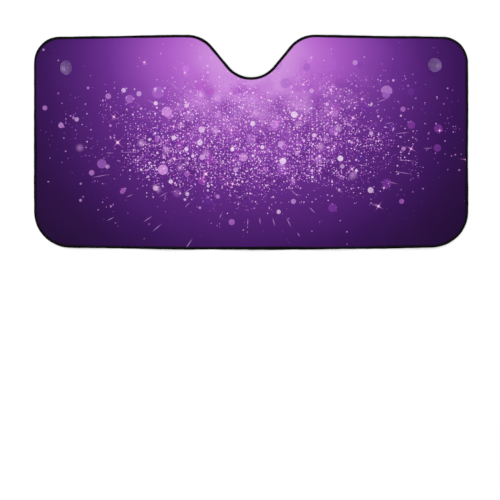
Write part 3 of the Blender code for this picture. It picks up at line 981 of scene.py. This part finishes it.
def makePrintMaterial():
    # glow, mist, streaks, dark gaps, dots from the largest layer to the smallest, glints, and the weave's
    # bump and painted shade
    material, place, grain = newMaterial("printedPolyester", printed, Specular_IOR_Level=0.06)
    spot = place["Object"]
    hazy = noise(spot, *printed["hazes"])
    ramp = addNode("ValToRGB", {0: glowLevel(spot, hazy)})
    stops = ramp.color_ramp.elements
    while len(stops) < len(printed["glow"]):
        stops.new(0.5)
    for stop, (position, colour) in zip(stops, printed["glow"]):
        stop.position = position
        stop.color = srgb(*colour)
    colour = ramp.outputs[0]

    centre, reach, share, mistColour = printed["mist"]
    mist = product(bell(split(spot), centre, reach), softStep(hazy, *printed["mistStep"]))
    colour = blend(product(mist, share), colour, mistColour)
    streaks = useGroup("printedStreaks", Place=spot, **printed["streaks"])["Mask"]
    colour = blend(product(streaks, printed["streakShare"]), colour, printed["streakColour"])
    *layer, strength, shadow = printed["gaps"]
    gaps = useDots(spot, layer)["Mask"]
    colour = blend(product(gaps, strength), colour, shadow, mode="MULTIPLY")
    speckle = softStep(noise(spot, *printed["speckles"]), *printed["speckleStep"])
    speckle = mulAdd(speckle, *printed["speckle"])
    for *layer, strength, low, high in reversed(printed["dots"]):
        dots = useDots(spot, layer)
        tone = blend(dots["Tone"], low, high)
        share = mulAdd(dots["Tone"], strength / 2, strength / 2)
        if layer[0] > printed["largeCell"]:
            share = product(share, speckle)
        colour = blend(product(dots["Mask"], share), colour, tone)
    glints = useGroup("printedGlints", Place=spot, **printed["glints"])["Mask"]
    for step, glintColour in printed["glintSteps"]:
        colour = blend(softStep(glints, *step), colour, glintColour)

    weave = useGroup("plainWeave", Place=spot, Pitch=printed["weavePitch"])
    folds = useGroup("foldLines", Place=spot, **printed["fold"])["Mask"]
    # painted shade: the threads lying one way are drawn a little darker
    colour = blend(product(weave["Shade"], printed["weaveShade"]), colour, (0, 0, 0))
    height = mulAdd(grain["Fine"], 0.5, weave["Height"])
    height = mulAdd(folds, printed["foldDepth"], height)
    setSurface(material, printed, colour, height, grain["Broad"])
    return material


foil = {
    "diamond": 4.2 * mm,
    "sharpness": 0.5,  # power of its humps
    "grain": {"Fine": 260.0, "Broad": 9.0},
    "crumple": 0.8,
    "tints": ((214, 215, 219), (223, 224, 227)),
    "tintStep": (0.35, 0.65),
    # painted shade: a darker grey drawn in the grooves between the diamonds, and how much of it
    "grooveShade": (120, 122, 128),
    "grooveShadeShare": 0.3,
    "rough": (0.08, 0.26),
    "bump": (0.6, 0.3 * mm),
}


def makeFoilMaterial():
    # silver film pressed into small diamonds by the foam's embossing, with fine crumples, and painted
    # shade drawn in the grooves between the diamonds
    material, place, grain = newMaterial("silverFilm", foil, Metallic=1.0)
    turned = made("Mapping", {"Vector": place["Object"], "Rotation": (0, 0, math.pi / 4)})
    humps = []
    for part in split(turned)[:2]:
        wave = calc("SINE", product(part, math.pi / foil["diamond"]))
        humps.append(calc("POWER", calc("ABSOLUTE", wave), foil["sharpness"]))
    quilt = product(*humps)
    tint = blend(softStep(grain["Broad"], *foil["tintStep"]), *foil["tints"])
    # painted shade: the tint drawn towards a darker grey, which the grooves between the humps take
    grooveShade = blend(foil["grooveShadeShare"], tint, foil["grooveShade"])
    height = mulAdd(grain["Fine"], foil["crumple"], quilt)
    setSurface(material, foil, blend(quilt, grooveShade, tint), height, grain["Broad"])
    return material


foam = {
    "cells": 900.0,
    "grain": {"Fine": 400.0, "Broad": 20.0},
    "tints": ((240, 240, 238), (222, 223, 222)),
    "tintShare": 0.5,
    "bump": (0.4, 0.3 * mm),
}


def makeFoamMaterial():
    # white foam: the pits of its cells, and broad smudges
    material, place, grain = newMaterial("whiteFoam", foam, Roughness=0.8, Subsurface_Weight=0.1)
    cells = addNode("TexVoronoi", {"Vector": place["Object"], "Scale": foam["cells"]}).outputs
    colour = blend(product(grain["Broad"], foam["tintShare"]), *foam["tints"])
    setSurface(material, foam, colour, cells["Distance"])
    return material


ribbon = {
    "pitch": 0.6 * mm,
    "grain": {"Fine": 1200.0, "Broad": 40.0},
    "tints": ((3, 2, 3), (7, 5, 8)),
    "dust": (17, 13, 18),
    "dustStep": (0.5, 0.8),
    "dustShare": 0.2,
    "rough": (0.15, 0.78),
    "fuzz": 0.4,
    "bump": (0.6, 0.12 * mm),
}


def makeTapeMaterial():
    # black polyester tape: a close weave along its length with painted shade on the threads lying one way,
    # a little dusty in places
    material, place, grain = newMaterial("blackTape", ribbon, Specular_IOR_Level=0.05)
    weave = useGroup("plainWeave", Place=place["UV"], Pitch=ribbon["pitch"])
    # painted light and shade: the threads lying one way are drawn a little lighter than the others
    colour = blend(weave["Shade"], *ribbon["tints"])
    dust = product(softStep(grain["Broad"], *ribbon["dustStep"]), ribbon["dustShare"])
    colour = blend(dust, colour, ribbon["dust"])
    height = mulAdd(grain["Fine"], ribbon["fuzz"], weave["Height"])
    setSurface(material, ribbon, colour, height, grain["Fine"])
    return material


thread = {
    "grain": {"Fine": 2500.0, "Broad": 60.0},
    "tints": ((10, 8, 12), (40, 35, 44)),
    "bump": (0.5, 0.1 * mm),
}


def makeThreadMaterial():
    # black thread, paler on the grain of its fibres
    material, _, grain = newMaterial("blackThread", thread, Roughness=0.55, Sheen_Weight=0.1)
    setSurface(material, thread, blend(grain["Fine"], *thread["tints"]), grain["Fine"])
    return material


vinyl = {
    "grain": {"Fine": 300.0, "Broad": 60.0},
    # the milky haze is real; its lilac tint is painted light from the print below
    "hazes": ((234, 184, 252), (228, 174, 248)),
    # painted shade: a darker lilac drawn round each neck's axis, as the dark spot over the thick vinyl
    "neck": (142, 86, 178),
    "neckShadeShare": 0.7,
    "neckReach": 0.75 * cup["neck"],
    "neckOut": 1.5 * mm,  # the necks lean outwards
    "head": (240, 236, 244),
    "headStep": (6 * mm, 12 * mm),  # heights between the heads under the sheet and the dishes
    "rough": (0.08, 0.28),
    "bump": (0.02, 0.4 * mm),
    "shadow": (0.9, 0.89, 0.92, 1.0),
    "inside": (0.56, 0.46, 0.62, 1.0),
    "density": 80.0,
}


def makeVinylMaterial():
    # clear soft vinyl with a faint milky haze, tinted lilac as painted light from the print below,
    # moulding marks, and painted shade over the thick necks
    material, place, grain = newMaterial("clearVinyl", vinyl, IOR=1.45, Specular_IOR_Level=0.15,
                                         Transmission_Weight=0.944)
    # painted light: the haze tinted lilac, as light from the print below
    colour = blend(grain["Broad"], *vinyl["hazes"])
    x, y, z = split(place["Object"])
    # painted shade: a darker lilac drawn round each neck's axis, nudged outwards where the necks lean
    (neckX, rightY), (_, leftY) = cupPlace("right"), cupPlace("left")
    isRight = calc("GREATER_THAN", x, 0.0)
    neckY = mulAdd(isRight, rightY - leftY, leftY)
    centre = (neckX + vinyl["neckOut"], neckY)
    thick = bell((calc("ABSOLUTE", x), y), centre, [vinyl["neckReach"]] * 2)
    colour = blend(product(thick, vinyl["neckShadeShare"]), colour, vinyl["neck"])
    colour = blend(softStep(z, *vinyl["headStep"]), vinyl["head"], colour)
    setSurface(material, vinyl, colour, grain["Fine"], grain["Broad"])
    tree = material.node_tree
    shadowRay = addNode("LightPath", {}, tree=tree).outputs["Is Shadow Ray"]
    shader = tree.nodes["Principled BSDF"].outputs[0]
    through = made("BsdfTransparent", {"Color": vinyl["shadow"]}, tree)
    depth = made("VolumeAbsorption", {"Color": vinyl["inside"], "Density": vinyl["density"]}, tree)
    output = tree.nodes["Material Output"].inputs
    feed(output["Surface"], made("MixShader", {0: shadowRay, 1: shader, 2: through}))
    feed(output["Volume"], depth)
    return material


# the pieces

threadMaterial = makeThreadMaterial()
vinylMaterial = makeVinylMaterial()
front = skinObject("printed_cloth", "printed_face", 1, 11, makePrintMaterial())
back = skinObject("foil_film", "foil_back", -1, 23, makeFoilMaterial())
print("skins made")
edge = tapeObject(makeTapeMaterial())
frontStitches = stitchObject("stitches_front", 1, threadMaterial)
backStitches = stitchObject("stitches_back", -1, threadMaterial)
print("edge bound and stitched")
cupObject("left", "suction_cup_left", vinylMaterial)
cupObject("right", "suction_cup_right", vinylMaterial)
coreObject = bpy.data.objects["foam_core"]
coreObject.data.materials.clear()
coreObject.data.materials.append(makeFoamMaterial())
print("cups made, foam finished")


# floor, light and camera

studio = {
    "floorSize": 30,
    "floorDrop": 0.2 * mm,
    "floorTints": ((238, 238, 240), (244, 244, 246)),
    "grain": {"Fine": 60.0, "Broad": 1.5},  # of the floor
    "floorGlow": 0.24,
    "skyStrength": 0.62,
    "keyPower": 92,
    "keySize": 4.8,
    "keyPlace": (-1.1, 1.0, 4.2),
}


def seenRay(tree):
    # 1 for rays that show a thing, straight or in gloss or through glass, and 0 for those that light it
    rays = addNode("LightPath", {}, tree=tree).outputs
    mirrored = calc("MAXIMUM", rays["Is Glossy Ray"], rays["Is Transmission Ray"])
    return calc("MAXIMUM", rays["Is Camera Ray"], mirrored)


def makeFloor():
    # a level square just under the shade, with a little glow of its own
    material, _, grain = newMaterial("paleFloor", studio, Roughness=0.9, Specular_IOR_Level=0.1)
    tree = material.node_tree
    shader = tree.nodes["Principled BSDF"]
    feed(shader.inputs["Base Color"], blend(grain["Broad"], *studio["floorTints"]))
    strength = product(seenRay(tree), studio["floorGlow"])
    glow = made("Emission", {"Color": (1, 1, 1, 1), "Strength": strength})
    both = made("AddShader", {0: shader.outputs[0], 1: glow})
    feed(tree.nodes["Material Output"].inputs["Surface"], both)
    half = studio["floorSize"] / 2
    corners = [(-half, -half, 0), (half, -half, 0), (half, half, 0), (-half, half, 0)]
    mesh = bpy.data.meshes.new("floor")
    mesh.from_pydata(corners, [], [(0, 1, 2, 3)])
    floor = bpy.data.objects.new("floor", mesh)
    floor.location.z = -studio["floorDrop"]
    scene.collection.objects.link(floor)
    mesh.materials.append(material)


def makeLight():
    # a white sky, dimmer where it lights than where it shows, and one broad lamp from the upper left
    world = bpy.data.worlds.new("studio")
    scene.world = world
    world.use_nodes = True
    tree = world.node_tree
    sky = tree.nodes["Background"]
    sky.inputs["Color"].default_value = (1, 1, 1, 1)
    strength = made("Mix", {0: seenRay(tree), 2: studio["skyStrength"], 3: 1.0})
    feed(sky.inputs["Strength"], strength)
    lamp = bpy.data.lights.new("key", "AREA")
    lamp.shape = "DISK"
    lamp.size = studio["keySize"]
    lamp.energy = studio["keyPower"]
    key = bpy.data.objects.new("key", lamp)
    key.location = studio["keyPlace"]
    direction = -key.location
    key.rotation_euler = direction.to_track_quat("-Z", "Y").to_euler()
    scene.collection.objects.link(key)


# the photograph is 500 x 500 and looks straight at the face of the shade
view = {
    "pixels": 500,
    "shadePixels": 433.9,  # width of the shade in it
    "shadeCentre": (251.04, 142.28),
    "distance": 6.6,
    "sensor": 36,
    "farthest": 50,
}


def makeCamera():
    # straight above, with the lens that makes a pixel of the photograph a pixel of the picture
    data = bpy.data.cameras.new("camera")
    camera = bpy.data.objects.new("camera", data)
    scene.collection.objects.link(camera)
    metresPerPixel = shade["width"] / view["shadePixels"]
    data.sensor_width = view["sensor"]
    data.lens = view["sensor"] * view["distance"] / (view["pixels"] * metresPerPixel)
    middle = view["pixels"] / 2
    x = (middle - view["shadeCentre"][0]) * metresPerPixel
    y = (view["shadeCentre"][1] - middle) * metresPerPixel
    camera.location = (x, y, view["distance"] + float(middleHeight))
    data.clip_end = view["farthest"]
    scene.camera = camera


makeFloor()
makeLight()
makeCamera()
scene.view_settings.view_transform = "Standard"
print("floor, light and camera set")
